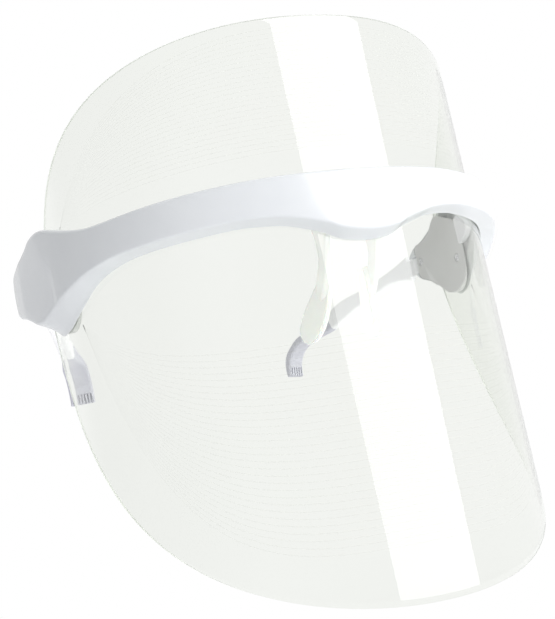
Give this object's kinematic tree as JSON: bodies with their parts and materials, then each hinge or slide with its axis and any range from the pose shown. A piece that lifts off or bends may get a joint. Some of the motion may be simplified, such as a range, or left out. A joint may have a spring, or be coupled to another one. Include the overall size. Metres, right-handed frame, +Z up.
{
  "type": "led face mask",
  "caption": "Clear bent face shield on a white brow band with side housings, folding ear arms and a nose bracket, lit from the sides.",
  "frame": {"origin": "middle between the two nose pads at their rear edges, where the bridge of the nose rests", "axes": "+X towards the wearer's left, +Y towards the back of the head, +Z up"},
  "size_m": [0.195, 0.1992, 0.2105],
  "materials": {
    "clear_sheet": "clear polished sheet with engraved light lines",
    "shell_white": "satin white moulding",
    "cover_grey": "fine textured moulding",
    "arm_white": "satin white moulding",
    "soft_lilac": "soft matt",
    "soft_clear": "soft milky",
    "bracket_clear": "pale glossy moulding",
    "board_green": "lacquered board",
    "chip_yellow": "light chips under clear resin",
    "chip_black": "moulded component cases",
    "cell_silver": "foil pouch",
    "wire_red": "insulated ribbon",
    "metal": "plated steel",
    "button_white": "satin white cap"
  },
  "bodies": {
    "mask": {"visor": "clear_sheet", "outer_shell": "shell_white", "inner_band": "shell_white", "right_cover": "cover_grey", "left_cover": "cover_grey", "right_board": "board_green", "left_board": "board_green", "right_light_chips": "chip_yellow", "left_light_chips": "chip_yellow", "control_chips": "chip_black", "battery": "cell_silver", "wire_harness": "wire_red", "charging_socket": "metal", "tact_switch": "chip_black", "cover_screws": "metal", "band_screws": "metal", "nose_screw": "metal", "hinge_pins": "metal", "nose_bracket": "bracket_clear", "right_nose_pad": "soft_clear", "left_nose_pad": "soft_clear"},
    "right_arm": {"right_arm": "arm_white", "right_ear_tip": "soft_lilac"},
    "left_arm": {"left_arm": "arm_white", "left_ear_tip": "soft_lilac"},
    "button": {"power_button": "button_white"}
  },
  "joints": [
    {"name": "right_arm_fold", "type": "hinge", "parent": "mask", "child": "right_arm", "pos_m": [-0.0871, 0.0732, 0.033], "axis": [0, 0, -1], "range_deg": [0, 51]},
    {"name": "left_arm_fold", "type": "hinge", "parent": "mask", "child": "left_arm", "pos_m": [0.0871, 0.0732, 0.033], "axis": [0, 0, 1], "range_deg": [0, 51]},
    {"name": "power_button_press", "type": "slide", "parent": "mask", "child": "button", "axis": [-1, 0, 0], "range_m": [0, 0.0005], "stiffness_N_per_m": 300, "springref_m": -0.0005}
  ]
}
